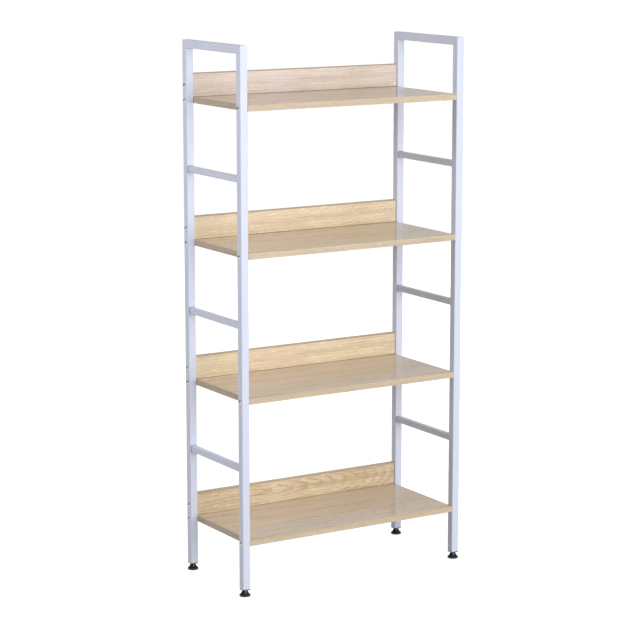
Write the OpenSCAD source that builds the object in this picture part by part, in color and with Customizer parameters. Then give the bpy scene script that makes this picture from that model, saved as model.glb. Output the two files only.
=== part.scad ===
// Open four-tier shelf rack: two welded ladder-like side frames in square tube, four boards
// bolted between them, a low backboard at the rear of each board, and four screw-in feet.
// Millimetres, +Z up. The origin is the middle of the footprint at floor level, -Y is the front.

/* [Overall size] */
// Width over the outer faces of the two side frames
overall_w = 640; // [400:1:1000]
// Depth over the front and rear faces of the uprights
overall_d = 285; // [200:1:450]
// Height from the floor to the top of the side frames
overall_h = 1340; // [1000:1:2000]

/* [Shelf heights] */
// Top face of the bottom shelf above the floor
bottom_shelf_z = 141; // [90:1:250]
// Drop from the top of the side frames to the top face of the highest shelf
top_drop = 140; // [80:1:300]

/* [Side frames] */
// Outside size of the square tube of the uprights and top rails
tube = 20; // [16:0.5:30]
// Wall of that tube
tube_wall = 1.2; // [1:0.1:2]
// Outside corner radius of that tube
tube_corner = 1.8; // [1.5:0.1:2.5]
// Outside size of the square tube of the rungs
rung = 15; // [10:0.5:16]
// Wall of the rung tube
rung_wall = 1; // [0.8:0.1:1.5]
// Outside corner radius of the rung tube
rung_corner = 1.5; // [1.2:0.1:2]

/* [Boards] */
// Thickness of the shelf boards, faces included
board_t = 15; // [14:1:25]
// Height of the backboards
backboard_h = 58; // [30:1:120]
// Thickness of the backboards
backboard_t = 15; // [14:1:18]
// Thickness of the edge bands
band_t = 1; // [0.4:0.1:2]

/* [Screws] */
// Shank diameter of the furniture screws
screw_d = 5; // [4:0.1:6.5]
// How far a screw bites into the end of a board
screw_bite = 25; // [15:1:40]
// Diameter of the domed screw head
head_d = 10; // [8:0.1:11]
// Height of the screw head
head_h = 3; // [2:0.1:4]
// Size across the corners of the hex socket
socket_d = 4.6; // [3:0.1:5]
// Depth of the hex socket
socket_depth = 1.8; // [1:0.1:2]
// Extra diameter of the holes in the tubes
hole_extra = 0.5; // [0.2:0.1:1]

/* [Feet] */
// Height of the tube ends above the floor with the feet screwed right in
foot_h = 18; // [15:0.5:30]
// Diameter of the foot's base
base_d = 27.6; // [24:0.1:40]
// Upright rim of the base
rim_h = 3.3; // [2:0.1:4]
// Radius of the hollow flare between neck and base
flare_r = 20; // [15:0.5:40]
// Wall of the neck around the stem
neck_wall = 2.5; // [2:0.1:3]
// Solid floor of the foot under the stem
foot_floor = 4; // [3:0.5:5]
// Diameter of the threaded stem
stem_d = 8; // [6:0.5:9.6]
// How far the stem stands up into the tube
stem_reach = 17; // [14:1:20]

/* [Tube plugs] */
// Thickness of the plug's flange under the tube end
flange_t = 2; // [1.5:0.1:3]
// Depth of the plug inside the tube
plug_depth = 20; // [18:1:30]
// Thickness of the plug's gripping fins
fin_t = 1; // [0.8:0.1:1.5]
// How far the fins stand out from the plug's core
fin_h = 1; // [0.5:0.1:1.2]
// Wall of the threaded bush in the plug
bush_wall = 1.5; // [1:0.1:1.8]
// Length of the threaded bush
bush_len = 13; // [10:1:16]

/* [Hidden] */
// Clearance on the radius between pieces that fit into each other
fit_gap = 0.05;
// Clearance between a foot and the plug above it
run_gap = 0.3;
// Overshoot of cutting shapes past the faces that they cut
over = 1;
tip_len = 6;
tip_d = 1.5;
head_rim = 0.6;
stem_chamfer = 1;
fin_count = 4;
shelf_count = 4;

left = -1;
right = 1;
front = -1;
rear = 1;

shelf_pitch = (overall_h - top_drop - bottom_shelf_z) / (shelf_count - 1);
shelf_len = overall_w - 2 * tube;
upright_x = (overall_w - tube) / 2;
upright_y = (overall_d - tube) / 2;
rung_len = overall_d - 2 * tube;
screw_len = tube + screw_bite;
tube_bore = tube - 2 * tube_wall;
pad_h = foot_h - flange_t - run_gap;
neck_r = stem_d / 2 + neck_wall;
bush_d = stem_d + 2 * bush_wall;
stem_bottom = foot_floor + run_gap;
stem_top = foot_h + stem_reach;
bush_z = foot_h + fin_t;

// Top face of a shelf, counted from 0 at the bottom
function shelf_z(level) = bottom_shelf_z + level * shelf_pitch;
// Middle of the rung above a shelf, half-way to the next shelf
function rung_z(level) = shelf_z(level) + shelf_pitch / 2;
// Middle of a backboard, which stands on its shelf
function backboard_mid(level) = shelf_z(level) + backboard_h / 2;

// ---- Shared shapes ----

// Square with rounded corners, centred
module rounded_square(size, corner) {
    inner = size - 2 * corner;
    square([size, inner], center = true);
    square([inner, size], center = true);
    for (x = [-1, 1], y = [-1, 1])
        translate([x * inner / 2, y * inner / 2])
            circle(r = corner, $fn = 48);
}

// Square tube standing on the XY plane
module square_tube(size, wall, corner, length) {
    linear_extrude(height = length)
        difference() {
            rounded_square(size, corner);
            rounded_square(size - 2 * wall, corner - wall);
        }
}

// Turns a shape made for the left front corner to any of the four corners
module at_corner(side, end) {
    mirror([side == right ? 1 : 0, 0, 0])
        mirror([0, end == rear ? 1 : 0, 0])
            children();
}

// Half-space used for the mitres: its face runs down and back from the frame's top front edge
module mitre_cut(above) {
    cut = 4 * tube;
    translate([-upright_x, -overall_d / 2, overall_h])
        rotate([-45, 0, 0])
            translate([-cut / 2, -cut / 2, above ? 0 : -cut])
                cube([cut, cut, cut]);
}

// Hole along X through the left side frame and on into the board's end
module end_hole(y, z, diameter, length) {
    translate([-overall_w / 2 - over, y, z])
        rotate([0, 90, 0])
            cylinder(d = diameter, h = length + over, $fn = 48);
}

// The furniture screw: head below the XY plane, shank above it
module furniture_screw() {
    cap_h = head_h - head_rim;
    dome_r = (pow(head_d / 2, 2) + pow(cap_h, 2)) / (2 * cap_h);
    difference() {
        union() {
            translate([0, 0, -head_rim])
                cylinder(d = head_d, h = head_rim, $fn = 64);
            intersection() {
                translate([0, 0, -head_h])
                    cylinder(d = head_d, h = cap_h, $fn = 64);
                translate([0, 0, dome_r - head_h])
                    sphere(r = dome_r, $fn = 64);
            }
            cylinder(d = screw_d, h = screw_len - tip_len, $fn = 48);
            translate([0, 0, screw_len - tip_len])
                cylinder(d1 = screw_d, d2 = tip_d, h = tip_len, $fn = 48);
        }
        translate([0, 0, -head_h - over])
            cylinder(d = socket_d, h = socket_depth + over, $fn = 6);
    }
}

// A screw in the side frame, at the middle of an upright
module screw_at(side, end, z) {
    at_corner(side, end)
        translate([-overall_w / 2, -upright_y, z])
            rotate([0, 90, 0])
                furniture_screw();
}

// ---- Side frames ----

module upright(side, end) {
    hole_d = screw_d + hole_extra;
    color([0.90, 0.91, 0.97])
        at_corner(side, end)
            difference() {
                translate([-upright_x, -upright_y, foot_h])
                    square_tube(tube, tube_wall, tube_corner, overall_h - foot_h);
                mitre_cut(true);
                for (level = [0 : shelf_count - 1]) {
                    end_hole(-upright_y, shelf_z(level) - board_t / 2, hole_d, tube + over);
                    if (end == rear)
                        end_hole(-upright_y, backboard_mid(level), hole_d, tube + over);
                }
            }
}

module top_rail(side) {
    color([0.90, 0.91, 0.97])
        at_corner(side, front)
            difference() {
                translate([-upright_x, overall_d / 2, overall_h - tube / 2])
                    rotate([90, 0, 0])
                        square_tube(tube, tube_wall, tube_corner, overall_d);
                mitre_cut(false);
                mirror([0, 1, 0])
                    mitre_cut(false);
            }
}

module ladder_rung(side, level) {
    color([0.90, 0.91, 0.97])
        translate([side * upright_x, rung_len / 2, rung_z(level)])
            rotate([90, 0, 0])
                square_tube(rung, rung_wall, rung_corner, rung_len);
}

// ---- Boards ----

// Holes for the screws at both ends of a board, at one height
module screw_holes(ends, z) {
    for (side = [left, right], end = ends)
        at_corner(side, end)
            end_hole(-upright_y, z, screw_d + 2 * fit_gap, screw_len);
}

module shelf_board(level) {
    core_d = overall_d - 2 * band_t;
    core_len = shelf_len - 2 * band_t;
    color([0.80, 0.70, 0.57])
        difference() {
            translate([-core_len / 2, -core_d / 2, shelf_z(level) - board_t])
                cube([core_len, core_d, board_t]);
            screw_holes([front, rear], shelf_z(level) - board_t / 2);
        }
}

module backboard(level) {
    color([0.86, 0.78, 0.66])
        difference() {
            translate([-shelf_len / 2, overall_d / 2 - backboard_t, shelf_z(level)])
                cube([shelf_len, backboard_t, backboard_h - band_t]);
            screw_holes([rear], backboard_mid(level));
        }
}

module shelf_long_bands(end) {
    color([0.84, 0.74, 0.60])
        for (level = [0 : shelf_count - 1])
            at_corner(left, end)
                translate([-shelf_len / 2, -overall_d / 2, shelf_z(level) - board_t])
                    cube([shelf_len, band_t, board_t]);
}

module shelf_end_bands() {
    color([0.84, 0.74, 0.60])
        for (level = [0 : shelf_count - 1], side = [left, right])
            difference() {
                at_corner(side, front)
                    translate([-shelf_len / 2, -overall_d / 2 + band_t, shelf_z(level) - board_t])
                        cube([band_t, overall_d - 2 * band_t, board_t]);
                screw_holes([front, rear], shelf_z(level) - board_t / 2);
            }
}

module backboard_top_bands() {
    color([0.84, 0.74, 0.60])
        for (level = [0 : shelf_count - 1])
            translate([
                -shelf_len / 2,
                overall_d / 2 - backboard_t,
                shelf_z(level) + backboard_h - band_t
            ])
                cube([shelf_len, backboard_t, band_t]);
}

// ---- Screws ----

module shelf_screws() {
    color([0.78, 0.79, 0.80])
        for (level = [0 : shelf_count - 1], side = [left, right], end = [front, rear])
            screw_at(side, end, shelf_z(level) - board_t / 2);
}

module backboard_screws() {
    color([0.78, 0.79, 0.80])
        for (level = [0 : shelf_count - 1], side = [left, right])
            screw_at(side, rear, backboard_mid(level));
}

// ---- Feet ----

// The plug: flange under the tube end, finned core inside it, pocket for the threaded bush
module tube_plug() {
    fin_size = tube_bore - 2 * fit_gap;
    core_size = fin_size - 2 * fin_h;
    fin_step = (plug_depth - fin_t) / fin_count;
    fin_corner = tube_corner - tube_wall;
    difference() {
        union() {
            translate([0, 0, foot_h - flange_t])
                linear_extrude(height = flange_t)
                    rounded_square(tube, tube_corner);
            translate([0, 0, foot_h])
                linear_extrude(height = plug_depth)
                    rounded_square(core_size, fin_corner);
            for (i = [1 : fin_count])
                translate([0, 0, foot_h + i * fin_step])
                    linear_extrude(height = fin_t)
                        rounded_square(fin_size, fin_corner);
        }
        translate([0, 0, foot_h - flange_t - over])
            cylinder(d = stem_d + 2 * fit_gap, h = plug_depth, $fn = 64);
        translate([0, 0, bush_z])
            cylinder(d = bush_d + 2 * fit_gap, h = plug_depth, $fn = 64);
    }
}

module tube_plugs() {
    color([0.06, 0.06, 0.07])
        for (side = [left, right], end = [front, rear])
            translate([side * upright_x, end * upright_y, 0])
                tube_plug();
}

module plug_bushes() {
    color([0.72, 0.62, 0.36])
        for (side = [left, right], end = [front, rear])
            translate([side * upright_x, end * upright_y, bush_z])
                difference() {
                    cylinder(d = bush_d, h = bush_len, $fn = 64);
                    translate([0, 0, -over])
                        cylinder(d = stem_d + 2 * fit_gap, h = bush_len + 2 * over, $fn = 64);
                }
}

module foot_stem(side, end) {
    color([0.75, 0.76, 0.78])
        translate([side * upright_x, end * upright_y, stem_bottom]) {
            cylinder(d = stem_d, h = stem_top - stem_bottom - stem_chamfer, $fn = 64);
            translate([0, 0, stem_top - stem_bottom - stem_chamfer])
                cylinder(d1 = stem_d, d2 = stem_d - 2 * stem_chamfer, h = stem_chamfer, $fn = 64);
        }
}

// Half section of the foot: a straight-sided bell with a hollow arc cut from its flank
module foot_section() {
    low = [base_d / 2, rim_h];
    high = [neck_r, pad_h];
    chord = high - low;
    half = norm(chord) / 2;
    outward = [chord[1], -chord[0]] / (2 * half);
    centre = (low + high) / 2 + outward * sqrt(pow(flare_r, 2) - pow(half, 2));
    difference() {
        polygon([[0, 0], [base_d / 2, 0], low, high, [0, pad_h]]);
        translate(centre)
            circle(r = flare_r, $fn = 96);
    }
}

module foot(side, end) {
    color([0.05, 0.05, 0.06])
        translate([side * upright_x, end * upright_y, 0])
            difference() {
                rotate_extrude($fn = 96)
                    foot_section();
                translate([0, 0, foot_floor])
                    cylinder(d = stem_d + 2 * fit_gap, h = pad_h, $fn = 64);
            }
}

upright(left, front);  // left_front_upright
upright(left, rear);  // left_rear_upright
top_rail(left);  // left_top_rail
ladder_rung(left, 0);  // left_lower_rung
ladder_rung(left, 1);  // left_middle_rung
ladder_rung(left, 2);  // left_upper_rung
upright(right, front);  // right_front_upright
upright(right, rear);  // right_rear_upright
top_rail(right);  // right_top_rail
ladder_rung(right, 0);  // right_lower_rung
ladder_rung(right, 1);  // right_middle_rung
ladder_rung(right, 2);  // right_upper_rung
shelf_board(0);  // shelf_bottom
shelf_board(1);  // shelf_lower
shelf_board(2);  // shelf_upper
shelf_board(3);  // shelf_top
backboard(0);  // backboard_bottom
backboard(1);  // backboard_lower
backboard(2);  // backboard_upper
backboard(3);  // backboard_top
shelf_long_bands(front);  // shelf_front_bands
shelf_long_bands(rear);  // shelf_rear_bands
shelf_end_bands();
backboard_top_bands();
shelf_screws();
backboard_screws();
tube_plugs();
plug_bushes();
foot_stem(left, front);  // front_left_stem
foot_stem(right, front);  // front_right_stem
foot_stem(left, rear);  // rear_left_stem
foot_stem(right, rear);  // rear_right_stem
foot(left, front);  // front_left_foot
foot(right, front);  // front_right_foot
foot(left, rear);  // rear_left_foot
foot(right, rear);  // rear_right_foot
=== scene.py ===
import bpy
import bmesh
import math
import numpy as np
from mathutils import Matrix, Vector


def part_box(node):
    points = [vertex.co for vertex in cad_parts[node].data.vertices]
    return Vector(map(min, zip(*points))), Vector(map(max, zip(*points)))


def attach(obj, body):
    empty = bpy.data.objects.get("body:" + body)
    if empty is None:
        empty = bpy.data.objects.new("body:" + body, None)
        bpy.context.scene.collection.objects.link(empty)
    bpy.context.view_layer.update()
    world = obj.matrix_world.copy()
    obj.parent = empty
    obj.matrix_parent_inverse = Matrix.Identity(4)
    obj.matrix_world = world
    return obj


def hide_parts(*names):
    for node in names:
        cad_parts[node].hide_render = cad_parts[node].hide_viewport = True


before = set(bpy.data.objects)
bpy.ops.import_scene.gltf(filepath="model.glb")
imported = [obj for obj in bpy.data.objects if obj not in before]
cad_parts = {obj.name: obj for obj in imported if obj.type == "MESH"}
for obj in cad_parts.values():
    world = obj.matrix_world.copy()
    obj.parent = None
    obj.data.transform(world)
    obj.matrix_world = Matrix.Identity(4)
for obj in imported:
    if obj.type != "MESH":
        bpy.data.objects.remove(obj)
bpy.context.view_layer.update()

mm = 0.001
fullTurn = 2 * math.pi
tierNames = ["bottom", "lower", "upper", "top"]
rungNames = ["lower", "middle", "upper"]
sides = {"left": -1, "right": 1}
ends = {"front": -1, "rear": 1}
chance = np.random.default_rng(41)


# lowest and highest corner of a frame node, as arrays
def nodeBox(name):
    low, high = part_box(name)
    return np.array(low), np.array(high)


# the middle of a frame node in plan, at height 0
def nodeFooting(name):
    low, high = nodeBox(name)
    return (low + high) / 2 * [1, 1, 0]


# quads between neighbouring rows and columns of a grid of points
def gridFaces(rows, cols, closeRows=False):
    r = np.arange(rows if closeRows else rows - 1)[:, None]
    c = np.arange(cols)[None, :]
    nextR, nextC = (r + 1) % rows, (c + 1) % cols
    quads = np.stack([r * cols + c, r * cols + nextC, nextR * cols + nextC, nextR * cols + c], axis=-1)
    return quads.reshape(-1, 4).tolist()


# one surface out of several; a surface is (points, faces, wearAndShade), with one value for each point: wear,
# and painted shade on the screw sockets, backboard edges and welds
def joinSurfaces(surfaces):
    starts = np.cumsum([0] + [len(points) for points, _, _ in surfaces])
    faces = []
    for start, (_, ownFaces, _) in zip(starts, surfaces):
        faces += [[i + int(start) for i in face] for face in ownFaces]
    points = np.concatenate([points for points, _, _ in surfaces])
    wearAndShade = np.concatenate([wearAndShade for _, _, wearAndShade in surfaces])
    return points, faces, wearAndShade


# makes the mesh object, closes its seams and poles, and lets it ride on a body in place of its frame nodes
def makePiece(name, surface, finish, body, replaced=(), sharpAngle=38):
    points, faces, wearAndShade = surface
    mesh = bpy.data.meshes.new(name)
    mesh.from_pydata(points.tolist(), [], faces)
    mesh.attributes.new("wearAndShade", "FLOAT", "POINT").data.foreach_set("value", wearAndShade.astype(np.float32))
    shape = bmesh.new()
    shape.from_mesh(mesh)
    bmesh.ops.remove_doubles(shape, verts=shape.verts, dist=2e-6)
    bmesh.ops.dissolve_degenerate(shape, edges=shape.edges, dist=1e-6)
    bmesh.ops.recalc_face_normals(shape, faces=shape.faces)
    shape.to_mesh(mesh)
    shape.free()
    mesh.shade_smooth()
    mesh.set_sharp_from_angle(angle=math.radians(sharpAngle))
    mesh.materials.append(finish)
    piece = bpy.data.objects.new(name, mesh)
    bpy.context.scene.collection.objects.link(piece)
    piece.modifiers.new("evenNormals", "WEIGHTED_NORMAL").keep_sharp = True
    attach(piece, body)
    if replaced:
        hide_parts(*replaced)


# ring round a rectangle with rounded corners, anticlockwise: each corner is its arc's centre plus the
# radius times (cos, sin); the wearAndShade value is sin of twice the angle, 1 at the middle of the arc
def roundedRing(width, height, radius, steps=6):
    turn = np.linspace(0, math.pi / 2, steps + 1)
    angle = turn[None, :] + math.pi / 2 * np.arange(4)[:, None]
    signX = np.array([1, -1, -1, 1])[:, None]
    signY = np.array([1, 1, -1, -1])[:, None]
    x = signX * (width / 2 - radius) + radius * np.cos(angle)
    y = signY * (height / 2 - radius) + radius * np.sin(angle)
    wearAndShade = np.repeat(np.sin(2 * turn)[None, :], 4, axis=0)
    return np.stack([x.ravel(), y.ravel()], axis=1), wearAndShade.ravel()


# puts (across, up, along) values into the frame's axes, with along on X, Y or Z
def layAlong(across, up, along, axis, centre=(0, 0, 0)):
    order = {"x": (along, across, up), "y": (across, along, up), "z": (across, up, along)}[axis]
    return np.stack(order, axis=-1).reshape(-1, 3) + np.asarray(centre)


# block with softened edges, a rounded ring swept along the block: towards both ends it draws in by
# radius * (1 - cos t) while it advances by radius * sin t, t from 0 to a right angle
def softBlock(low, high, radius, axis="x", steps=3):
    size, centre = high - low, (high + low) / 2
    lengthAxis = "xyz".index(axis)
    wide, tall = [k for k in range(3) if k != lengthAxis]
    turn = np.concatenate([np.linspace(-math.pi / 2, 0, steps + 1), np.linspace(0, math.pi / 2, steps + 1)])
    nearOrFar = np.repeat([-1, 1], steps + 1)
    along = nearOrFar * (size[lengthAxis] / 2 - radius) + radius * np.sin(turn)
    ring, ringWearAndShade = roundedRing(size[wide], size[tall], radius, steps)
    core = np.sign(ring) * (np.array([size[wide], size[tall]]) / 2 - radius)
    rings = core[None] + (ring - core)[None] * np.cos(turn)[:, None, None]
    rows, cols = rings.shape[:2]
    points = layAlong(rings[..., 0], rings[..., 1], np.repeat(along[:, None], cols, axis=1), axis, centre)
    wearAndShade = np.clip(ringWearAndShade[None, :] + np.abs(np.sin(2 * turn))[:, None], 0, 1).ravel()
    faces = gridFaces(rows, cols) + [list(range(cols)), list(range((rows - 1) * cols, rows * cols))]
    return points, faces, wearAndShade


# surface of revolution about Z: radius is a column of values or a whole (rows, cols) array
def turned(radius, height, cols, wearAndShade=None):
    angle = np.linspace(0, fullTurn, cols, endpoint=False)[None, :]
    radius = np.broadcast_to(np.asarray(radius).reshape(len(height), -1), (len(height), cols))
    heights = np.repeat(np.asarray(height)[:, None], cols, axis=1)
    points = np.stack([radius * np.cos(angle), radius * np.sin(angle), heights], axis=-1).reshape(-1, 3)
    wearAndShade = np.zeros(len(height)) if wearAndShade is None else np.asarray(wearAndShade)
    return points, gridFaces(len(height), cols), np.repeat(wearAndShade, cols)


# a material with its node tree, its shader and the points of the piece's own coordinates
def newFinish(name, roughness, metallic=0.0):
    finish = bpy.data.materials.new(name)
    finish.use_nodes = True
    tree = finish.node_tree
    shader = tree.nodes["Principled BSDF"]
    shader.inputs["Roughness"].default_value = roughness
    shader.inputs["Metallic"].default_value = metallic
    place = tree.nodes.new("ShaderNodeTexCoord").outputs["Object"]
    return finish, tree, shader, place


# sets a socket to a number or colour, or links it
def feed(tree, socket, value):
    if isinstance(value, bpy.types.NodeSocket):
        tree.links.new(value, socket)
    elif socket.type == "RGBA":
        socket.default_value = (*value, 1)
    else:
        socket.default_value = value


def addNode(tree, kind, fields, inputs):
    added = tree.nodes.new(kind)
    for key, value in fields.items():
        setattr(added, key, value)
    for key, value in inputs.items():
        feed(tree, added.inputs[key], value)
    return added


def maths(tree, operation, first, second=0.0, clamp=False):
    fields = {"operation": operation, "use_clamp": clamp}
    return addNode(tree, "ShaderNodeMath", fields, {0: first, 1: second}).outputs[0]


def plus(tree, first, second, clamp=False):
    return maths(tree, "ADD", first, second, clamp)


def minus(tree, first, second):
    return maths(tree, "SUBTRACT", first, second)


def times(tree, first, second, clamp=False):
    return maths(tree, "MULTIPLY", first, second, clamp)


# noise stretched by one scale for each axis, per metre
def streaks(tree, place, scale, detail=3.0, roughness=0.55, offset=(0, 0, 0)):
    inputs = {"Vector": place, "Scale": scale, "Location": offset}
    spread = addNode(tree, "ShaderNodeMapping", {}, inputs).outputs[0]
    inputs = {"Vector": spread, "Scale": 1.0, "Detail": detail, "Roughness": roughness}
    return addNode(tree, "ShaderNodeTexNoise", {}, inputs).outputs["Fac"]


# spreads a value from one range to another, clamped
def between(tree, value, low, high, toLow=0.0, toHigh=1.0):
    inputs = {"Value": value, "From Min": low, "From Max": high, "To Min": toLow, "To Max": toHigh}
    return addNode(tree, "ShaderNodeMapRange", {"clamp": True}, inputs).outputs[0]


def mixColour(tree, amount, first, second):
    fields = {"data_type": "RGBA", "blend_type": "MIX"}
    return addNode(tree, "ShaderNodeMix", fields, {0: amount, 6: first, 7: second}).outputs[2]


def readWearAndShade(tree):
    return addNode(tree, "ShaderNodeAttribute", {"attribute_name": "wearAndShade"}, {}).outputs["Fac"]


# relief from a height between 0 and 1, depth in metres
def relief(tree, shader, height, depth):
    bump = addNode(tree, "ShaderNodeBump", {}, {"Height": height, "Strength": 1.0, "Distance": depth})
    feed(tree, shader.inputs["Normal"], bump.outputs[0])


powderCoat = {
    "colour": (0.735, 0.760, 0.870),
    "thinCoatAndShadeColour": (0.590, 0.605, 0.675),  # where the coat pulls thin over an edge
    "cloudShade": 0.93,  # the darkest clouding, as a share of the colour
    "roughness": 0.34,
    "coat": 0.25, "coatRoughness": 0.22,
    "cloudPerMetre": (9, 9, 5), "scuffPerMetre": (120, 120, 22),
    "peelPerMetre": (640, 640, 640), "peelDepth": 0.16 * mm,
}
# the coat over a weld, finer grained, and painted dark: its colour and its thin colour are painted shade, the
# dark crevice line where a rung meets an upright
weldShadeTone = {
    "colour": (0.27, 0.285, 0.35), "thinCoatAndShadeColour": (0.18, 0.19, 0.24),
    "peelPerMetre": (1500, 1500, 1500),
}


# sprayed and baked powder: orange peel, faint clouding, and thin scuffed edges
def makePowderCoat(name, cfg):
    finish, tree, shader, place = newFinish(name, cfg["roughness"])
    peel = streaks(tree, place, cfg["peelPerMetre"], 2.0, 0.45)
    cloud = streaks(tree, place, cfg["cloudPerMetre"], 4.0)
    scuff = streaks(tree, place, cfg["scuffPerMetre"], 6.0, 0.7)
    worn = times(tree, readWearAndShade(tree), between(tree, scuff, 0.45, 0.75, 0.12, 0.9))
    shade = tuple(c * cfg["cloudShade"] for c in cfg["colour"])
    tone = mixColour(tree, between(tree, cloud, 0.35, 0.7, 0.0, 0.4), cfg["colour"], shade)
    feed(tree, shader.inputs["Base Color"], mixColour(tree, worn, tone, cfg["thinCoatAndShadeColour"]))
    rough = plus(tree, between(tree, scuff, 0.3, 0.75, -0.05, 0.09), cfg["roughness"])
    feed(tree, shader.inputs["Roughness"], rough)
    shader.inputs["Coat Weight"].default_value = cfg["coat"]
    shader.inputs["Coat Roughness"].default_value = cfg["coatRoughness"]
    relief(tree, shader, peel, cfg["peelDepth"])
    return finish


oakShelf = {
    "pale": (0.810, 0.665, 0.485),
    "warm": (0.690, 0.545, 0.370),
    "blush": (0.780, 0.615, 0.450),  # redder patches of the print
    "late": (0.420, 0.295, 0.180),  # dense wood at the end of a year ring
    "pore": (0.215, 0.145, 0.090),
    "ray": (0.840, 0.730, 0.580),  # pale flecks across the grain
    "edge": (0.840, 0.730, 0.580), "edgeShow": 0.15,  # rubbed pale; on the backboards the dark edge colour is painted shade
    "ringWidth": 6.2 * mm, "ringShow": 0.42,
    "wander": 34 * mm,  # how far the log sways across the board
    "kneeShare": 1.3,  # how far a ring wobbles, in ring widths
    "leftEnd": 300 * mm,  # from the board's middle to its left end
    "fibreShow": 0.42, "rayShow": 0.3, "poreShow": 0.55,
    "roughness": 0.15,
    "poreDepth": 0.03 * mm,
}
oakBackboard = {
    **oakShelf,
    "pale": (0.905, 0.745, 0.515), "warm": (0.785, 0.605, 0.370), "blush": (0.845, 0.650, 0.445),
    "late": (0.560, 0.400, 0.230), "pore": (0.400, 0.280, 0.160), "ray": (0.990, 0.900, 0.720),
    # the dark edge colour is painted shade: a thin dark line along each backboard's edges, where it stands on
    # the shelf and along its top
    "edge": (0.300, 0.205, 0.120), "edgeShow": 0.95,
    "ringShow": 0.5, "fibreShow": 0.5, "rayShow": 0.55, "wander": 12 * mm, "roughness": 0.34,
    "poreDepth": 0.04 * mm,
}
oakEdge = {
    **oakShelf,
    "pale": (0.730, 0.580, 0.395), "warm": (0.640, 0.480, 0.300), "blush": (0.700, 0.525, 0.350),
    "late": (0.480, 0.340, 0.195), "ringShow": 0.3, "roughness": 0.36,
}
# the end bands are the edge band's oak painted darker, as the shade that falls on the shelves' ends between
# the uprights
oakEndShaded = {
    **oakEdge,
    "pale": (0.600, 0.480, 0.350), "warm": (0.520, 0.400, 0.280), "blush": (0.560, 0.430, 0.310),
}
# noise scales per metre along the board, across it and through it
oakGrain = {
    "sway": (3.2, 9, 9), "knee": (16, 130, 130), "fade": (5, 26, 26), "figure": (2.2, 75, 75),
    "patch": (3.0, 7, 7), "fibre": (11, 330, 330), "rays": (34, 240, 240), "dashes": (70, 1500, 1500),
}


# year rings of a log that lies nearly along the board, sawn off-centre: the distance from the log's heart
# over the ring width; the heart's tilt makes long arches, and its bend, which grows with the square of the
# way from the left end, packs them towards the right end; log is (across, below, tilt, bend)
def yearRings(tree, place, cfg, across, log):
    heartAcross, heartBelow, tilt, bend = log
    split = addNode(tree, "ShaderNodeSeparateXYZ", {}, {0: place}).outputs
    wide, deep = (split[1], split[2]) if across == "y" else (split[2], split[1])
    sway = minus(tree, streaks(tree, place, oakGrain["sway"], 3.0, 0.5, (3, 1, 2)), 0.5)
    knee = minus(tree, streaks(tree, place, oakGrain["knee"], 4.0, 0.65), 0.5)
    a = plus(tree, plus(tree, wide, heartAcross), times(tree, sway, cfg["wander"] * 2))
    way = plus(tree, split[0], cfg["leftEnd"])
    lean = plus(tree, times(tree, split[0], tilt), times(tree, times(tree, way, way), bend))
    b = plus(tree, plus(tree, deep, heartBelow), lean)
    reach = maths(tree, "SQRT", plus(tree, times(tree, a, a), times(tree, b, b)))
    reach = plus(tree, reach, times(tree, knee, cfg["ringWidth"] * cfg["kneeShare"]))
    return maths(tree, "FRACT", maths(tree, "DIVIDE", reach, cfg["ringWidth"]))


# printed oak: late wood darkens towards the end of each year ring, and fibres, pores and ray flecks are
# noise stretched along the board, or along a band that is turned about Z
def makeOak(name, cfg, centre, across, log, turn=0.0):
    finish, tree, shader, place = newFinish(name, cfg["roughness"])
    inputs = {"Vector": place, "Location": tuple(-c for c in centre), "Rotation": (0, 0, turn)}
    place = addNode(tree, "ShaderNodeMapping", {}, inputs).outputs[0]
    year = yearRings(tree, place, cfg, across, log)
    late = maths(tree, "POWER", between(tree, year, 0.05, 0.9), 2.5)
    late = times(tree, late, between(tree, year, 0.9, 1.0, 1.0, 0.0))
    fade = streaks(tree, place, oakGrain["fade"], 3.0, 0.6, (0, 4, 1))  # where the rings stand out or fade
    late = times(tree, late, between(tree, fade, 0.35, 0.62, 0.15, 1.0))
    figure = streaks(tree, place, oakGrain["figure"], 6.0, 0.7)
    patch = streaks(tree, place, oakGrain["patch"], 2.0, 0.5, (5, 0, 7))
    fibre = streaks(tree, place, oakGrain["fibre"], 6.0, 0.75)
    rays = streaks(tree, place, oakGrain["rays"], 3.0, 0.6, (2, 6, 0))
    dashes = streaks(tree, place, oakGrain["dashes"], 3.0, 0.6)
    early = between(tree, year, 0.0, 0.55, 1.0, 0.3)
    pores = times(tree, between(tree, dashes, 0.55, 0.64), early)
    tone = mixColour(tree, between(tree, figure, 0.42, 0.58), cfg["pale"], cfg["warm"])
    tone = mixColour(tree, between(tree, patch, 0.46, 0.6, 0.0, 0.75), tone, cfg["blush"])
    tone = mixColour(tree, times(tree, late, cfg["ringShow"]), tone, cfg["late"])
    tone = mixColour(tree, between(tree, fibre, 0.44, 0.66, 0.0, cfg["fibreShow"]), tone, cfg["late"])
    tone = mixColour(tree, between(tree, rays, 0.58, 0.68, 0.0, cfg["rayShow"]), tone, cfg["ray"])
    tone = mixColour(tree, times(tree, pores, cfg["poreShow"]), tone, cfg["pore"])
    # the edge colour over the wearAndShade mark: rubbed pale on shelves and bands, painted shade along the
    # backboards' edges
    rubbed = times(tree, readWearAndShade(tree), cfg["edgeShow"])
    feed(tree, shader.inputs["Base Color"], mixColour(tree, rubbed, tone, cfg["edge"]))
    rough = plus(tree, between(tree, fibre, 0.3, 0.7, -0.04, 0.07), cfg["roughness"])
    feed(tree, shader.inputs["Roughness"], plus(tree, rough, times(tree, pores, 0.12)))
    height = minus(tree, times(tree, fibre, 0.35), times(tree, pores, 0.65))
    relief(tree, shader, height, cfg["poreDepth"])
    return finish


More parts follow.
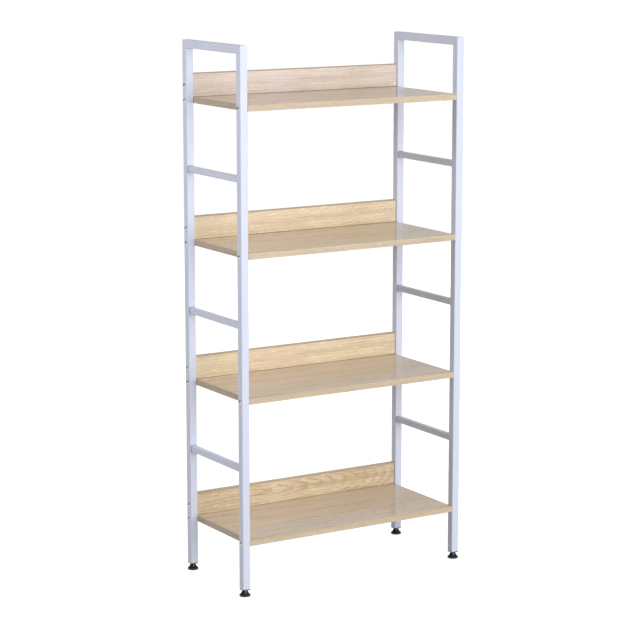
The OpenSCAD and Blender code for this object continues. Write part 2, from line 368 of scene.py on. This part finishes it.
# recessShade is the colour of painted shade in a recess, such as the screw's socket
zincPlate = {
    "colour": (0.74, 0.75, 0.77), "stain": (0.60, 0.60, 0.56), "recessShade": (0.03, 0.03, 0.03),
    "roughness": 0.27,
    "filmPerMetre": (260, 260, 260), "marksPerMetre": (3200, 700, 3200), "marksDepth": 0.02 * mm,
}
brassTurned = {
    **zincPlate,
    "colour": (0.78, 0.62, 0.30), "stain": (0.50, 0.36, 0.16), "recessShade": (0.05, 0.04, 0.02),
    "roughness": 0.3,
}


# plated or turned metal: fine tool marks, blotches of dull film, brighter rubbed edges where the wearAndShade
# mark is above zero, and near-black painted shade in recesses where it is below zero
def makeMetal(name, cfg):
    finish, tree, shader, place = newFinish(name, cfg["roughness"], 1.0)
    film = streaks(tree, place, cfg["filmPerMetre"], 5.0, 0.6)
    marks = streaks(tree, place, cfg["marksPerMetre"], 2.0)
    tone = mixColour(tree, between(tree, film, 0.42, 0.72, 0.0, 0.7), cfg["colour"], cfg["stain"])
    wearAndShade = readWearAndShade(tree)
    rubbed = tuple(min(1, c * 1.2) for c in cfg["colour"])
    bright = mixColour(tree, times(tree, wearAndShade, 0.5, True), tone, rubbed)
    shadedRecess = times(tree, wearAndShade, -0.92, True)
    feed(tree, shader.inputs["Base Color"], mixColour(tree, shadedRecess, bright, cfg["recessShade"]))
    rough = plus(tree, between(tree, film, 0.35, 0.75, -0.06, 0.16), cfg["roughness"])
    feed(tree, shader.inputs["Roughness"], rough)
    relief(tree, shader, marks, cfg["marksDepth"])
    return finish


glossBlack = {
    "colour": (0.012, 0.012, 0.014), "dust": (0.10, 0.10, 0.105), "roughness": 0.16,
    "grainPerMetre": (1900, 1900, 1900), "grainDepth": 0.02 * mm,
    "flowPerMetre": (90, 90, 40), "scuffPerMetre": (420, 420, 160),
}
satinBlack = {
    **glossBlack,
    "colour": (0.020, 0.020, 0.023), "dust": (0.11, 0.11, 0.115), "roughness": 0.42,
    "grainDepth": 0.06 * mm,
}


# moulded plastic: a faint flow pattern, fine grain, and dust and scuffs that gather on worn edges
def makePlastic(name, cfg):
    finish, tree, shader, place = newFinish(name, cfg["roughness"])
    grain = streaks(tree, place, cfg["grainPerMetre"], 2.0)
    flow = streaks(tree, place, cfg["flowPerMetre"], 3.0)
    scuff = streaks(tree, place, cfg["scuffPerMetre"], 6.0, 0.75)
    rubbed = times(tree, readWearAndShade(tree), between(tree, scuff, 0.4, 0.7, 0.05, 0.5))
    dusty = plus(tree, rubbed, between(tree, scuff, 0.6, 0.8, 0.0, 0.12), True)
    feed(tree, shader.inputs["Base Color"], mixColour(tree, dusty, cfg["colour"], cfg["dust"]))
    rough = plus(tree, between(tree, flow, 0.3, 0.7, -0.03, 0.08), cfg["roughness"])
    feed(tree, shader.inputs["Roughness"], plus(tree, rough, times(tree, dusty, 0.25)))
    relief(tree, shader, grain, cfg["grainDepth"])
    return finish


whiteCoat = makePowderCoat("whitePowderCoat", powderCoat)
# the welds' coat is painted shade: a dark line round each rung's end, where shade falls in the crevice
weldShadeCoat = makePowderCoat("weldPaintedShadeCoat", {**powderCoat, **weldShadeTone})
zinc = makeMetal("zincPlate", zincPlate)
zincThread = makeMetal("zincThread", zincPlate)
brass = makeMetal("turnedBrass", brassTurned)
footBlack = makePlastic("glossBlack", glossBlack)
plugBlack = makePlastic("satinBlack", satinBlack)
print("finishes made")

postTube = {
    "wall": 1.2 * mm, "corner": 1.8 * mm, "leastCorner": 0.2 * mm,
    "softEnd": 0.45 * mm, "softPoints": 4,
}
rungTube = {**postTube, "wall": 1.0 * mm, "corner": 1.5 * mm, "softEnd": 0.15 * mm}


# square tube as one closed skin, softened at both ends: the outside draws in by soft * (1 - cos t) as it
# comes to within soft * (1 - sin t) of the end, turns in to the bore and runs back; an end plane is a
# place along the tube and a slope, its rise for each step up the ring
def squareTube(size, axis, centre, startPlane, endPlane, cfg):
    turn = np.linspace(0, math.pi / 2, cfg["softPoints"])
    drawIn = np.append(cfg["softEnd"] * (1 - np.cos(turn)), cfg["wall"])
    setBack = np.append(cfg["softEnd"] * (1 - np.sin(turn)), 0)
    profile = [(inset, -back, endPlane) for inset, back in zip(drawIn, setBack)]
    profile += [(inset, back, startPlane) for inset, back in zip(drawIn[::-1], setBack[::-1])]
    rings, along, wearAndShade = [], [], []
    for inset, shift, (place, slope) in profile:
        inner = size - 2 * inset
        ring, ringWearAndShade = roundedRing(inner, inner, max(cfg["corner"] - inset, cfg["leastCorner"]))
        rings.append(ring)
        along.append(place + slope * ring[:, 1] + shift)
        wearAndShade.append(np.where(inset < cfg["wall"], np.maximum(ringWearAndShade, inset / cfg["softEnd"]), 0))
    rings = np.array(rings)
    points = layAlong(rings[..., 0], rings[..., 1], np.array(along), axis, centre)
    return points, gridFaces(*rings.shape[:2], closeRows=True), np.array(wearAndShade).ravel()


# upright, cut square at the floor and mitred at the top, where it falls towards the inside of the frame
def makePost(side, end):
    node = f"{side}_{end}_upright"
    low, high = nodeBox(node)
    size = high[0] - low[0]
    mitre = (high[2] - size / 2, ends[end])
    skin = squareTube(size, "z", nodeFooting(node), (low[2], 0), mitre, postTube)
    makePiece(f"{side}{end.title()}Post", skin, whiteCoat, "frame", [node])


# rail along the top, mitred at both ends
def makeTopRail(side):
    node = f"{side}_top_rail"
    low, high = nodeBox(node)
    size, centre = high[0] - low[0], (low + high) / 2
    reach = (high[1] - low[1] - size) / 2
    skin = squareTube(size, "y", centre, (-reach, -1), (reach, 1), postTube)
    makePiece(f"{side}TopRail", skin, whiteCoat, "frame", [node])


# rung between the uprights, cut square
def makeRung(side, level):
    node = f"{side}_{level}_rung"
    low, high = nodeBox(node)
    size, centre, reach = high[0] - low[0], (low + high) / 2, (high[1] - low[1]) / 2
    skin = squareTube(size, "y", centre, (-reach, 0), (reach, 0), rungTube)
    makePiece(f"{side}{level.title()}Rung", skin, whiteCoat, "frame", [node])


weldBead = {
    "radius": 1.15 * mm,
    "spread": 0.9,  # how far it reaches along the rung, in radii
    "ripple": 1.7 * mm, "rippleShare": 0.16,
    "slowSwell": 0.10, "quickSwell": 0.07,  # shares of the radius, two and five times round
    # how far the weld's painted shade moves towards its darker thin colour
    "wearAndShade": 0.6,
    "points": 150, "round": 10, "cornerSteps": 8, "sharpAngle": 80,
}


# weld bead round the end of a rung: a circle carried along the rung's outline, its radius rippled by
# 1 + share * sin(2 pi s / ripple), s the way round, and swollen by two slower sines
def weldRing(level, side, end, cfg=weldBead):
    low, high = nodeBox(f"{side}_{level}_rung")
    size, centre = high[0] - low[0], (low + high) / 2
    outline = roundedRing(size, size, rungTube["corner"], cfg["cornerSteps"])[0]
    closed = np.vstack([outline, outline[:1]])
    way = np.concatenate([[0], np.cumsum(np.linalg.norm(np.diff(closed, axis=0), axis=1))])
    s = np.linspace(0, way[-1], cfg["points"], endpoint=False)
    path = np.stack([np.interp(s, way, closed[:, 0]), np.interp(s, way, closed[:, 1])], axis=1)
    tangent = np.roll(path, -1, axis=0) - np.roll(path, 1, axis=0)
    tangent /= np.linalg.norm(tangent, axis=1)[:, None]
    outward = np.stack([tangent[:, 1], -tangent[:, 0]], axis=1)
    turns = fullTurn * s / way[-1]
    waves = round(way[-1] / cfg["ripple"])
    slowStart, quickStart, _ = chance.uniform(0, fullTurn, 3)
    ripple = cfg["rippleShare"] * np.sin(turns * waves)
    slow = cfg["slowSwell"] * np.sin(2 * turns + slowStart)
    quick = cfg["quickSwell"] * np.sin(5 * turns + quickStart)
    radius = cfg["radius"] * (1 + ripple + slow + quick)
    phi = np.linspace(0, fullTurn, cfg["round"], endpoint=False)
    ring = path[:, None, :] + outward[:, None, :] * (radius[:, None] * np.cos(phi))[..., None]
    along = ends[end] * ((high[1] - low[1]) / 2 - radius[:, None] * np.sin(phi) * cfg["spread"])
    points = layAlong(ring[..., 0], ring[..., 1], along, "y", centre)
    faces = gridFaces(cfg["points"], cfg["round"], closeRows=True)
    return points, faces, np.full(len(points), cfg["wearAndShade"])


for side in sides:
    for end in ends:
        makePost(side, end)
    makeTopRail(side)
    for level in rungNames:
        makeRung(side, level)
    beads = joinSurfaces([weldRing(level, side, end) for level in rungNames for end in ends])
    makePiece(f"{side}RungWelds", beads, weldShadeCoat, "frame", sharpAngle=weldBead["sharpAngle"])
print("side frames made")

boards = {
    "shelfEdge": 0.25 * mm, "backEdge": 1.2 * mm, "bandEdge": 0.35 * mm, "bandThickness": 1.0 * mm,
    # where the heart of the log lies across and below each board's middle, its tilt and its bend
    "shelfLogs": {
        "bottom": (0.06, 0.075, 0.10, 0.1), "lower": (-0.05, 0.06, -0.12, 0.0),
        "upper": (0.01, 0.085, 0.14, 0.0), "top": (-0.09, 0.05, 0.09, 0.05),
    },
    "backLogs": {
        "bottom": (-0.006, 0.016, 0.0, 0.20), "lower": (0.05, 0.040, -0.06, 0.1),
        "upper": (-0.045, 0.020, 0.05, 0.22), "top": (0.09, 0.050, 0.02, 0.0),
    },
    "bandLog": (0.3, 0.2, 0.02, 0.0), "endBandLog": (0.25, 0.3, 0.02, 0.0),
}
# the print differs a little from board to board
backTints = {
    "top": {
        "pale": (0.840, 0.720, 0.620), "warm": (0.750, 0.610, 0.495), "blush": (0.840, 0.690, 0.650),
        "ringShow": 0.2, "rayShow": 0.35, "wander": 5 * mm,
    },
    "bottom": {
        "pale": (0.800, 0.640, 0.415), "warm": (0.660, 0.495, 0.290), "late": (0.400, 0.270, 0.140),
        "ringShow": 0.75, "wander": 20 * mm,
    },
}
shelfBoxes = {tier: nodeBox("shelf_" + tier) for tier in tierNames}
backBoxes = {tier: nodeBox("backboard_" + tier) for tier in tierNames}


def makeShelf(tier):
    low, high = shelfBoxes[tier]
    finish = makeOak(tier + "ShelfOak", oakShelf, (low + high) / 2, "y", boards["shelfLogs"][tier])
    surface = softBlock(low, high, boards["shelfEdge"])
    makePiece(tier + "Shelf", surface, finish, "frame", ["shelf_" + tier])


def makeBackboard(tier):
    low, high = backBoxes[tier]
    tones = {**oakBackboard, **backTints.get(tier, {})}
    finish = makeOak(tier + "BackboardOak", tones, (low + high) / 2, "z", boards["backLogs"][tier])
    surface = softBlock(low, high, boards["backEdge"])
    makePiece(tier + "Backboard", surface, finish, "frame", ["backboard_" + tier])


# soft-edged band between two corners
def band(x0, y0, z0, x1, y1, z1, axis="x"):
    return softBlock(np.array([x0, y0, z0]), np.array([x1, y1, z1]), boards["bandEdge"], axis)


# one band along the front or rear edge of each shelf
def longBands(node):
    low, high = nodeBox(node)
    return joinSurfaces([band(low[0], low[1], shelfLow[2], high[0], high[1], shelfHigh[2])
                         for shelfLow, shelfHigh in shelfBoxes.values()])


# one band on each end of each shelf
def endBands(node):
    low, high = nodeBox(node)
    thickness = boards["bandThickness"]
    return joinSurfaces([band(x, low[1], shelfLow[2], x + thickness, high[1], shelfHigh[2], "y")
                         for shelfLow, shelfHigh in shelfBoxes.values()
                         for x in (low[0], high[0] - thickness)])


# one band on top of each backboard
def backTopBands(node):
    low, high = nodeBox(node)
    thickness = boards["bandThickness"]
    return joinSurfaces([band(low[0], low[1], backHigh[2], high[0], high[1], backHigh[2] + thickness)
                         for _, backHigh in backBoxes.values()])


for tier in tierNames:
    makeShelf(tier)
    makeBackboard(tier)
bandFinish = makeOak("oakEdgeBand", oakEdge, (0, 0, 0), "z", boards["bandLog"])
# the end bands' finish is painted shade: the edge band's oak made darker
shadedEndBandFinish = makeOak("oakEndBandShaded", oakEndShaded, (0, 0, 0), "z", boards["endBandLog"], math.pi / 2)
for name, node, build, finish in (
    ("shelfFrontBands", "shelf_front_bands", longBands, bandFinish),
    ("shelfRearBands", "shelf_rear_bands", longBands, bandFinish),
    ("shelfEndBands", "shelf_end_bands", endBands, shadedEndBandFinish),
    ("backboardTopBands", "backboard_top_bands", backTopBands, bandFinish),
):
    makePiece(name, build(node), finish, "frame", [node])
print("boards made")

screw = {
    "headRadius": 5.0 * mm, "headHeight": 3.0 * mm, "rim": 0.6 * mm, "soft": 0.15 * mm,
    "socketCorner": 2.3 * mm, "socketDepth": 1.8 * mm, "socketChamfer": 0.35 * mm,
    "socketFloor": 0.97,  # the floor's size, as a share of the socket's
    "lipHexagon": 1.12, "lipCircle": 1.08, "lipHeight": 1.05,  # the lip, in shares of the socket
    "domeFrom": 1.25, "domeRows": 7, "domeEdge": 0.12 * mm,
    "shankRadius": 2.5 * mm, "length": 45.0 * mm,
    "threadFrom": 22.0 * mm, "threadPitch": 2.4 * mm, "threadDepth": 0.5 * mm, "threadRows": 6,
    "ridgeSlope": 1.6, "tipRidge": 0.3,  # how steep the ridge is, and what is left of it at the tip
    "tipLength": 6.0 * mm, "tipRadius": 0.75 * mm, "tipPoint": 0.2 * mm, "runOut": 1.0 * mm,
    "cols": 30, "sharpAngle": 32,
}


# furniture screw turned about Z, head below 0: radius against height, where the socket's radius is
# apothem / cos(angle within its sixth), the dome is a part of a ball, and the thread is a ridge that
# climbs by its pitch each turn
def screwSurface(cfg=screw):
    corner, headRadius, soft = cfg["socketCorner"], cfg["headRadius"], cfg["soft"]
    angle = np.linspace(0, fullTurn, cfg["cols"], endpoint=False)
    apothem = corner * math.cos(math.pi / 6)
    sixth = (angle + math.pi / 6) % (math.pi / 3) - math.pi / 6
    hexagon = apothem / np.cos(sixth)
    domeRise = cfg["headHeight"] - cfg["rim"]
    domeRadius = (headRadius ** 2 + domeRise ** 2) / (2 * domeRise)
    top, floor = -cfg["headHeight"], -cfg["headHeight"] + cfg["socketDepth"]

    def dome(r):
        return top + domeRadius - np.sqrt(domeRadius ** 2 - r ** 2)

    lip = np.maximum(hexagon * cfg["lipHexagon"], corner * cfg["lipCircle"])
    rows = [
        (0 * hexagon, floor + cfg["socketChamfer"]),
        (hexagon * cfg["socketFloor"], floor),
        (hexagon, floor - soft),
        (hexagon, dome(apothem) + cfg["socketChamfer"]),
        (lip, dome(corner * cfg["lipHeight"])),
    ]
    domeRadii = np.linspace(corner * cfg["domeFrom"], headRadius - cfg["domeEdge"], cfg["domeRows"])
    rows += [(r + 0 * angle, dome(r)) for r in domeRadii]
    rows += [(r + 0 * angle, z) for r, z in (
        (headRadius, -cfg["rim"]), (headRadius, -soft), (headRadius - soft, 0),
        (cfg["shankRadius"], 0), (cfg["shankRadius"], cfg["threadFrom"] - cfg["runOut"]))]
    threadEnd = cfg["length"] - cfg["tipPoint"]
    climb = np.arange(cfg["threadFrom"], threadEnd, cfg["threadPitch"] / cfg["threadRows"])
    turnsAt = climb[:, None] / cfg["threadPitch"] - angle[None, :] / fullTurn
    ridge = np.clip(1 - cfg["ridgeSlope"] * (1 - np.abs(2 * (turnsAt % 1) - 1)), 0, 1)
    tip = np.clip((threadEnd - climb) / cfg["tipLength"], 0, 1)[:, None]
    core = cfg["tipRadius"] + (cfg["shankRadius"] - cfg["threadDepth"] - cfg["tipRadius"]) * tip
    threads = core + cfg["threadDepth"] * ridge * np.minimum(1, cfg["tipRidge"] + tip)
    radius = np.vstack([r for r, _ in rows] + [threads, 0 * hexagon[None, :]])
    height = np.concatenate([[z for _, z in rows], climb, [cfg["length"]]])
    wearAndShade = np.zeros(len(height))
    wearAndShade[:4] = -1  # painted shade in the socket
    wearAndShade[4] = 1  # its lip
    wearAndShade[len(rows) - 5:len(rows) - 2] = 0.8  # the head's rim
    return turned(radius, height, cfg["cols"], wearAndShade)


# screws through the side frames at the given (side, y, z), their heads on the outer faces, each turned
# by chance
def screwGroup(places):
    basePoints, baseFaces, baseWearAndShade = screwSurface()
    group = []
    for side, y, z in places:
        outer = nodeBox(f"{side}_front_upright")[0 if side == "left" else 1][0]
        spin = chance.uniform(0, fullTurn)
        across = basePoints[:, 0] * math.cos(spin) - basePoints[:, 1] * math.sin(spin)
        up = basePoints[:, 0] * math.sin(spin) + basePoints[:, 1] * math.cos(spin)
        along = outer - sides[side] * basePoints[:, 2]
        group.append((np.stack([along, y + across, z + up], axis=1), baseFaces, baseWearAndShade))
    return joinSurfaces(group)


postY = {end: nodeFooting(f"left_{end}_upright")[1] for end in ends}
shelfMiddle = {tier: (low[2] + high[2]) / 2 for tier, (low, high) in shelfBoxes.items()}
backMiddle = {tier: (low[2] + high[2] + boards["bandThickness"]) / 2
              for tier, (low, high) in backBoxes.items()}
shelfScrews = screwGroup([(side, postY[end], shelfMiddle[tier])
                          for tier in tierNames for side in sides for end in ends])
backScrews = screwGroup([(side, postY["rear"], backMiddle[tier]) for tier in tierNames for side in sides])
for name, node, surface in (
    ("shelfScrews", "shelf_screws", shelfScrews),
    ("backboardScrews", "backboard_screws", backScrews),
):
    makePiece(name, surface, zinc, "frame", [node], screw["sharpAngle"])
print("screws made")

stem = {
    "radius": 4.0 * mm, "pitch": 1.25 * mm, "depth": 0.62 * mm, "chamfer": 1.0 * mm,
    "crestSlope": 1.25, "crestFlat": 0.12,  # how steep the thread's flanks are, and how flat its crest
    "clearance": 0.05 * mm, "rowsPerPitch": 8, "cols": 36, "sharpAngle": 45,
}
foot = {
    "rim": 3.3 * mm, "shoulderDrop": 0.15 * mm, "neckWall": 2.5 * mm, "soft": 0.5 * mm,
    "flareRadius": 20.0 * mm, "flareFrom": 0.8 * mm,  # how far in from the rim the flare begins
    "floor": 4.0 * mm, "recess": 0.6 * mm, "recessRadius": 10.0 * mm, "recessSlope": 0.5 * mm,
    "boreChamfer": 0.3 * mm, "flarePoints": 26, "softPoints": 6, "cols": 72, "sharpAngle": 45,
}
plug = {
    "flange": 2.0 * mm, "corner": 1.8 * mm, "soft": 0.4 * mm, "coreHalf": 7.75 * mm, "finHalf": 8.75 * mm,
    "fins": 4, "finThickness": 1.0 * mm, "finSoft": 0.25 * mm, "coreCorner": 0.6 * mm,
    "bushRadius": 5.55 * mm, "bushFloor": 3.0 * mm, "softPoints": 4, "flatPoints": 10, "wearAndShade": 0.6,
}


# threaded rod about Z: the radius less depth * (how far from the crest), the crest climbing a pitch a turn,
# and chamfered towards both ends
def stemSurface(low, high, cfg=stem):
    angle = np.linspace(0, fullTurn, cfg["cols"], endpoint=False)[None, :]
    z = np.linspace(low, high, int((high - low) / cfg["pitch"] * cfg["rowsPerPitch"]))
    fall = np.abs(2 * ((z[:, None] / cfg["pitch"] - angle / fullTurn) % 1) - 1)
    fromCrest = np.clip(cfg["crestSlope"] * fall - cfg["crestFlat"], 0, 1)
    taper = np.clip(np.minimum(z - low, high - z) / cfg["chamfer"], 0, 1)[:, None]
    limit = cfg["radius"] - cfg["chamfer"] * (1 - taper)
    radius = np.minimum(cfg["radius"] - cfg["depth"] * fromCrest, limit)
    pole = np.zeros((1, cfg["cols"]))
    return turned(np.vstack([pole, radius, pole]), np.concatenate([[low], z, [high]]), cfg["cols"])


# the bell of a foot turned about Z: recessed underside, softened rim, a concave arc up to the neck,
# then down the stem's bore to the foot's floor
def footSurface(baseRadius, height, cfg=foot):
    soft, neck = cfg["soft"], stem["radius"] + cfg["neckWall"]
    bore, chamfer = stem["radius"] + stem["clearance"], cfg["boreChamfer"]
    low, high = np.array([baseRadius, cfg["rim"]]), np.array([neck, height])
    half = np.linalg.norm(high - low) / 2
    outward = np.array([high[1] - low[1], low[0] - high[0]]) / (2 * half)
    centre = (low + high) / 2 + outward * math.sqrt(cfg["flareRadius"] ** 2 - half ** 2)
    start, stop = (math.atan2(*(p - centre)[::-1]) % fullTurn for p in (low, high))
    arc = np.linspace(start, stop, cfg["flarePoints"])
    flare = centre + cfg["flareRadius"] * np.stack([np.cos(arc), np.sin(arc)], axis=1)
    flare = flare[(flare[:, 0] < baseRadius - cfg["flareFrom"]) & (flare[:, 1] < height - soft)]
    quarter = np.linspace(0, math.pi / 2, cfg["softPoints"])
    lessSin, lessCos = soft * (1 - np.sin(quarter)), soft * (1 - np.cos(quarter))
    shoulder = flare[0][1] - cfg["shoulderDrop"]
    recess, recessRadius = cfg["recess"], cfg["recessRadius"]
    outline = np.vstack([
        [(0, recess), (recessRadius - cfg["recessSlope"], recess), (recessRadius, 0)],
        np.stack([baseRadius - lessSin, lessCos], axis=1),
        np.stack([baseRadius - lessCos, shoulder - lessSin], axis=1),
        flare,
        np.stack([neck - lessCos, height - lessSin], axis=1),
        [(bore + chamfer, height), (bore, height - chamfer), (bore, cfg["floor"]), (0, cfg["floor"])],
    ])
    wearAndShade = np.zeros(len(outline))
    wearAndShade[3:3 + len(quarter) * 2] = 0.8  # the base's rim
    wearAndShade[-len(quarter) - 4:-4] = 0.5  # the top of the neck
    return turned(outline[:, 0], outline[:, 1], cfg["cols"], wearAndShade)


# rounded square ring with points shared out along its flats too, so that a circle at the same angles is round
def evenRing(size, corner, flatPoints):
    arcs = roundedRing(size, size, corner)[0].reshape(4, -1, 2)
    ahead = np.roll(arcs[:, 0], -1, axis=0) - arcs[:, -1]
    share = np.arange(1, flatPoints + 1) / (flatPoints + 1)
    flats = arcs[:, -1, None] + ahead[:, None] * share[None, :, None]
    return np.concatenate([arcs, flats], axis=1).reshape(-1, 2)


# tube plug as one closed skin: rounded square rings up the outside, flange then fins, and circles down
# the bore at the same angles
def plugSurface(low, top, size, centre, cfg=plug):
    core, fin, coreCorner, finSoft = cfg["coreHalf"], cfg["finHalf"], cfg["coreCorner"], cfg["finSoft"]
    corner, soft = cfg["corner"], cfg["soft"]
    flangeTop, bushFloor = low + cfg["flange"], low + cfg["bushFloor"]
    levels = [(size / 2 - soft * (1 - math.sin(t)), low + soft * (1 - math.cos(t)), corner)
              for t in np.linspace(0, math.pi / 2, cfg["softPoints"])]
    levels += [(size / 2, flangeTop, corner), (core, flangeTop, coreCorner)]
    step = (top - flangeTop - cfg["finThickness"]) / cfg["fins"]
    for i in range(1, cfg["fins"] + 1):
        start = flangeTop + i * step
        end = start + cfg["finThickness"]
        levels += [(core, start, coreCorner), (fin, start + finSoft, coreCorner),
                   (fin, end - finSoft, coreCorner), (core, end, coreCorner)]
    rings = [evenRing(2 * half, ringCorner, cfg["flatPoints"]) for half, _, ringCorner in levels]
    angle = np.arctan2(rings[0][:, 1], rings[0][:, 0])
    circle = np.stack([np.cos(angle), np.sin(angle)], axis=1)
    bore = stem["radius"] + stem["clearance"]
    inner = [(cfg["bushRadius"], top), (cfg["bushRadius"], bushFloor), (bore, bushFloor), (bore, low)]
    rings = np.array(rings + [r * circle for r, _ in inner])
    heights = np.array([z for _, z, _ in levels] + [z for _, z in inner])
    heights = np.repeat(heights[:, None], rings.shape[1], axis=1)
    wearAndShade = np.zeros(rings.shape[:2])
    wearAndShade[:cfg["softPoints"] + 1] = cfg["wearAndShade"]  # the flange's edges
    points = layAlong(rings[..., 0], rings[..., 1], heights, "z", centre)
    return points, gridFaces(*rings.shape[:2], closeRows=True), wearAndShade.ravel()


# a foot and its stem each ride on the body that is named like their node
def makeFoot(end, side):
    node = f"{end}_{side}_foot"
    low, high = nodeBox(node)
    points, faces, wearAndShade = footSurface((high[0] - low[0]) / 2, high[2])
    surface = (points + nodeFooting(node), faces, wearAndShade)
    makePiece(f"{end}{side.title()}Foot", surface, footBlack, node, [node], foot["sharpAngle"])


def makeStem(end, side):
    node = f"{end}_{side}_stem"
    low, high = nodeBox(node)
    points, faces, wearAndShade = stemSurface(low[2], high[2])
    surface = (points + nodeFooting(node), faces, wearAndShade)
    makePiece(f"{end}{side.title()}Stem", surface, zincThread, node, [node], stem["sharpAngle"])


def makePlugs(node):
    low, high = nodeBox(node)
    postLow, postHigh = nodeBox("left_front_upright")
    plugs = [plugSurface(low[2], high[2], postHigh[0] - postLow[0], nodeFooting(f"{end}_{side}_stem"))
             for end in ends for side in sides]
    makePiece("tubePlugs", joinSurfaces(plugs), plugBlack, "frame", [node])


for end in ends:
    for side in sides:
        makeFoot(end, side)
        makeStem(end, side)
makePlugs("tube_plugs")
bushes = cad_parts["plug_bushes"]
bushes.data.materials.clear()
bushes.data.materials.append(brass)
print("feet made")

studio = {
    "floorHalf": 60.0, "floorColour": (0.32, 0.32, 0.32), "floorGlow": 0.90,
    "floorRoughness": 0.6, "floorShine": 0.1, "mottleShade": 0.97, "mottlePerMetre": (1.5, 1.5, 1.5),
    "skyColour": (0.965, 0.98, 1.0), "ground": 0.18, "horizon": 0.10, "zenith": 0.40,
    "farSide": (0.52, 0.85), "farSideGlow": 0.55,
    "lights": [  # name, place, aim, size, watts, colour, whether shiny surfaces mirror it
        ("frontKey", (-0.6, -5.2, 2.6), (0, 0, 0.7), 4.0, 193, (0.915, 0.945, 1.0), True),
        ("frontFill", (1.8, -4.8, 0.8), (0, 0, 0.5), 3.0, 105, (0.89, 0.935, 1.0), True),
        ("leftHigh", (-2.4, 0.1, 1.9), (-0.3, 0, 1.1), 1.2, 26, (0.93, 0.93, 1.0), False),
        ("rearFill", (4.6, 2.6, 1.3), (0, 0, 0.7), 2.4, 150, (1.0, 1.0, 1.0), False),
    ],
}
camera = {
    "aim": (-0.009, 0.005, 0.635), "distance": 5.676, "yaw": 31.74, "pitch": -10.6,
    "lens": 126.9, "sensor": 36, "near": 0.1, "far": 200,
}


# a floor lit through from below, like a light table, so that shadows on it stay faint
def makeFloor(cfg):
    finish, tree, shader, place = newFinish("paleFloor", cfg["floorRoughness"])
    mottle = streaks(tree, place, cfg["mottlePerMetre"])
    shade = tuple(c * cfg["mottleShade"] for c in cfg["floorColour"])
    feed(tree, shader.inputs["Base Color"], mixColour(tree, mottle, cfg["floorColour"], shade))
    shader.inputs["Specular IOR Level"].default_value = cfg["floorShine"]
    shader.inputs["Emission Color"].default_value = (1, 1, 1, 1)
    shader.inputs["Emission Strength"].default_value = cfg["floorGlow"]
    half = cfg["floorHalf"]
    mesh = bpy.data.meshes.new("floor")
    corners = [(-half, -half, 0), (half, -half, 0), (half, half, 0), (-half, half, 0)]
    mesh.from_pydata(corners, [], [(0, 1, 2, 3)])
    mesh.materials.append(finish)
    floor = bpy.data.objects.new("floor", mesh)
    bpy.context.scene.collection.objects.link(floor)
    floor.visible_diffuse = False  # the sky's lower half lights the rack from below instead


# the sky's strength runs from horizon to zenith with the square of the direction's height, grows towards
# the far side with the square of how far the direction points that way, and is even below the horizon
def makeSky(cfg):
    world = bpy.data.worlds.new("paleStudio")
    world.use_nodes = True
    tree = world.node_tree
    sky = tree.nodes["Background"]
    feed(tree, sky.inputs["Color"], cfg["skyColour"])
    ray = tree.nodes.new("ShaderNodeTexCoord").outputs["Generated"]
    split = addNode(tree, "ShaderNodeSeparateXYZ", {}, {0: ray}).outputs
    height = maths(tree, "MAXIMUM", split[2], 0.0)
    overhead = between(tree, times(tree, height, height), 0, 1, cfg["horizon"], cfg["zenith"])
    ahead = plus(tree, times(tree, split[0], cfg["farSide"][0]), times(tree, split[1], cfg["farSide"][1]))
    ahead = maths(tree, "MAXIMUM", ahead, 0.0)
    beyond = times(tree, times(tree, ahead, ahead), cfg["farSideGlow"])
    isBelow = maths(tree, "LESS_THAN", split[2], 0.0)
    above = times(tree, plus(tree, overhead, beyond), minus(tree, 1.0, isBelow))
    feed(tree, sky.inputs["Strength"], plus(tree, above, times(tree, isBelow, cfg["ground"])))
    bpy.context.scene.world = world


def makeLights(cfg):
    for name, place, aim, size, watts, colour, mirrored in cfg["lights"]:
        light = bpy.data.lights.new(name, "AREA")
        light.shape = "DISK"
        light.size = size
        light.energy = watts
        light.color = colour
        lamp = bpy.data.objects.new(name, light)
        lamp.visible_glossy = mirrored
        lamp.location = place
        lamp.rotation_euler = (Vector(aim) - Vector(place)).to_track_quat("-Z", "Y").to_euler()
        bpy.context.scene.collection.objects.link(lamp)


# the camera stands back from its aim, against the direction given by yaw from +Y and pitch
def makeCamera(cfg):
    yaw, pitch = math.radians(cfg["yaw"]), math.radians(cfg["pitch"])
    ahead = Vector((math.sin(yaw) * math.cos(pitch), math.cos(yaw) * math.cos(pitch), math.sin(pitch)))
    lens = bpy.data.cameras.new("camera")
    lens.lens = cfg["lens"]
    lens.sensor_width = cfg["sensor"]
    lens.clip_start = cfg["near"]
    lens.clip_end = cfg["far"]
    view = bpy.data.objects.new("camera", lens)
    view.location = Vector(cfg["aim"]) - ahead * cfg["distance"]
    view.rotation_euler = ahead.to_track_quat("-Z", "Y").to_euler()
    bpy.context.scene.collection.objects.link(view)
    bpy.context.scene.camera = view


makeFloor(studio)
makeSky(studio)
makeLights(studio)
makeCamera(camera)
bpy.context.scene.view_settings.view_transform = "Standard"
print("studio made")
